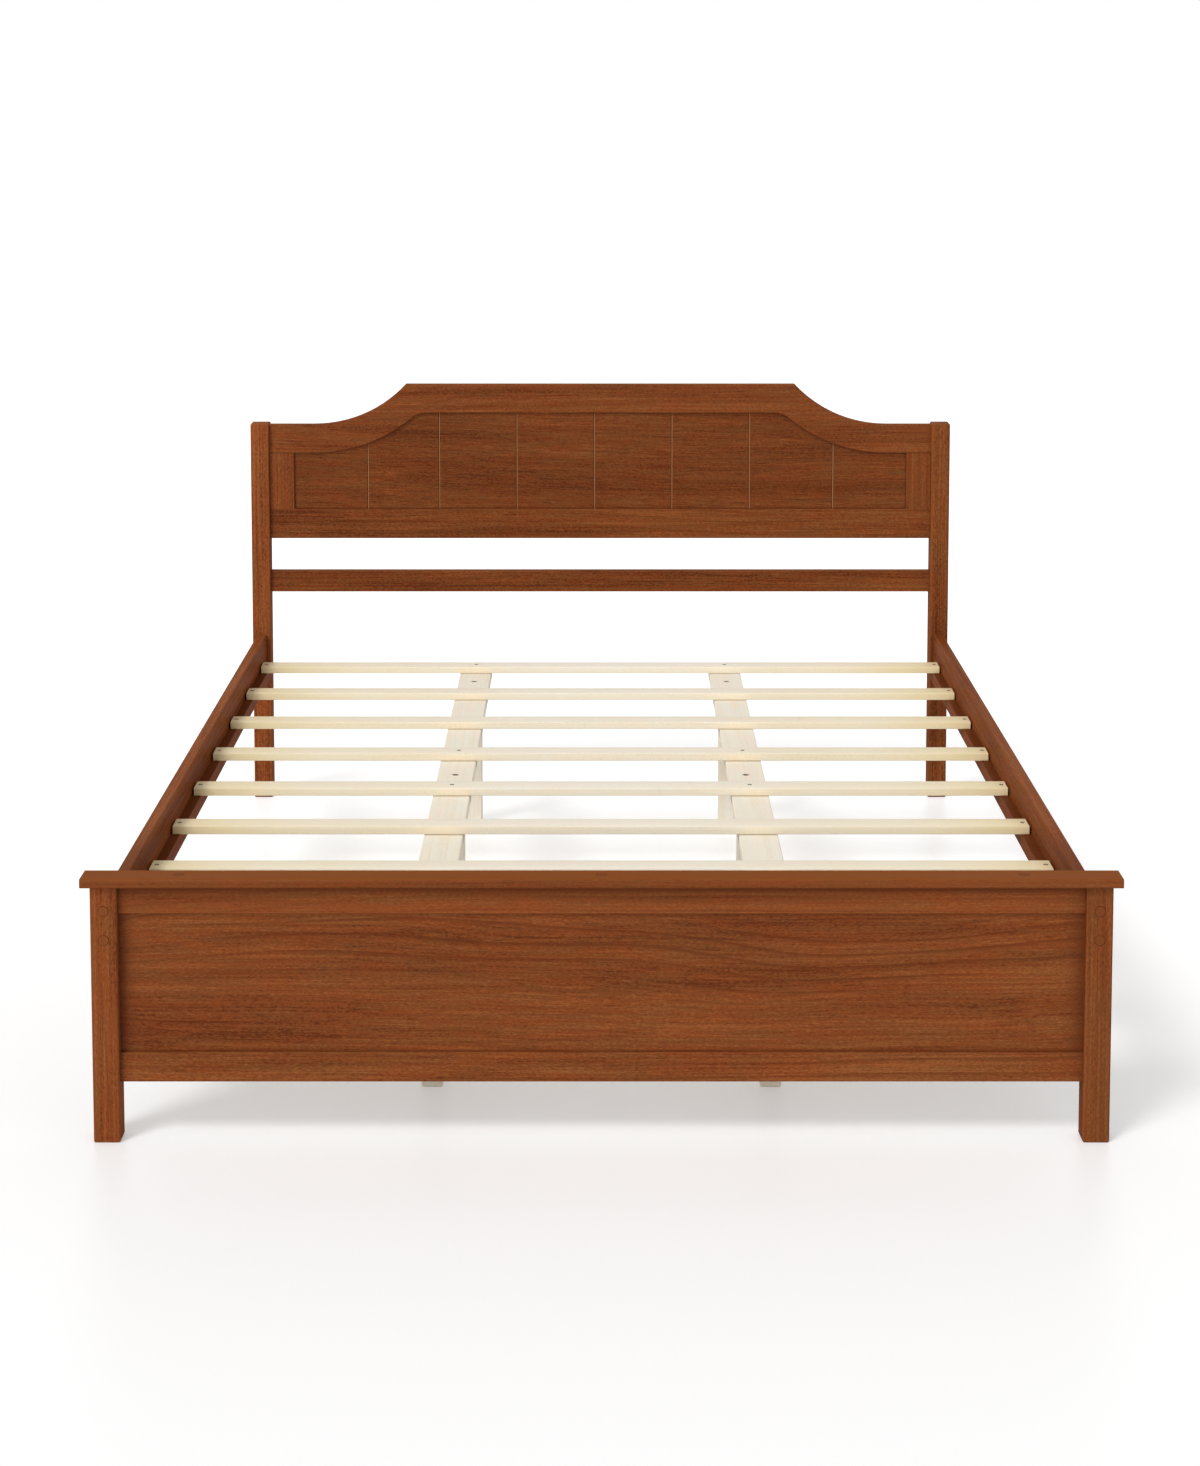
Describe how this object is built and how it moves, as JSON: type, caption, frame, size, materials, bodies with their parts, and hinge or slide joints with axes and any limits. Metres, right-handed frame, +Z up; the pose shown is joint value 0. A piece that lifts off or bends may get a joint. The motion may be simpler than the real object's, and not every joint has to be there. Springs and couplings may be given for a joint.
{
  "type": "platform bed",
  "caption": "Queen-size wooden platform bed with an arched, grooved headboard, low panelled footboard, bolted side rails and screwed slats on ledgers and centre beams with legs.",
  "frame": {"origin": "on the floor, at the centre of the bed's outer box", "axes": "+Z up, +Y from the footboard to the headboard, +X to the right seen from the foot"},
  "size_m": [1.636, 2.149, 0.966],
  "materials": {
    "stained_wood": "satin walnut-brown stain",
    "pale_wood": "sanded, unstained",
    "zinc_steel": "zinc plated"
  },
  "bodies": {
    "root": {"barrel_nuts": "zinc_steel", "bolt_plugs": "stained_wood", "cap_plugs": "stained_wood", "cap_screws": "zinc_steel", "centre_beam_left": "pale_wood", "centre_beam_right": "pale_wood", "centre_leg_left_front": "pale_wood", "centre_leg_left_middle": "pale_wood", "centre_leg_left_rear": "pale_wood", "centre_leg_right_front": "pale_wood", "centre_leg_right_middle": "pale_wood", "centre_leg_right_rear": "pale_wood", "foot_bottom_rail": "stained_wood", "foot_cap": "stained_wood", "foot_panel": "stained_wood", "foot_post_left": "stained_wood", "foot_post_right": "stained_wood", "foot_top_rail": "stained_wood", "head_arch_rail": "stained_wood", "head_bottom_rail": "stained_wood", "head_lower_bar": "stained_wood", "head_panel": "stained_wood", "head_post_left": "stained_wood", "head_post_right": "stained_wood", "head_stile_left": "stained_wood", "head_stile_right": "stained_wood", "ledger_left": "stained_wood", "ledger_right": "stained_wood", "ledger_screws": "zinc_steel", "leg_bolts": "zinc_steel", "leg_inserts": "zinc_steel", "rail_bolts": "zinc_steel", "side_rail_left": "stained_wood", "side_rail_right": "stained_wood", "slat_1": "pale_wood", "slat_2": "pale_wood", "slat_3": "pale_wood", "slat_4": "pale_wood", "slat_5": "pale_wood", "slat_6": "pale_wood", "slat_7": "pale_wood", "slat_8": "pale_wood", "slat_screws": "zinc_steel"}
  },
  "joints": []
}
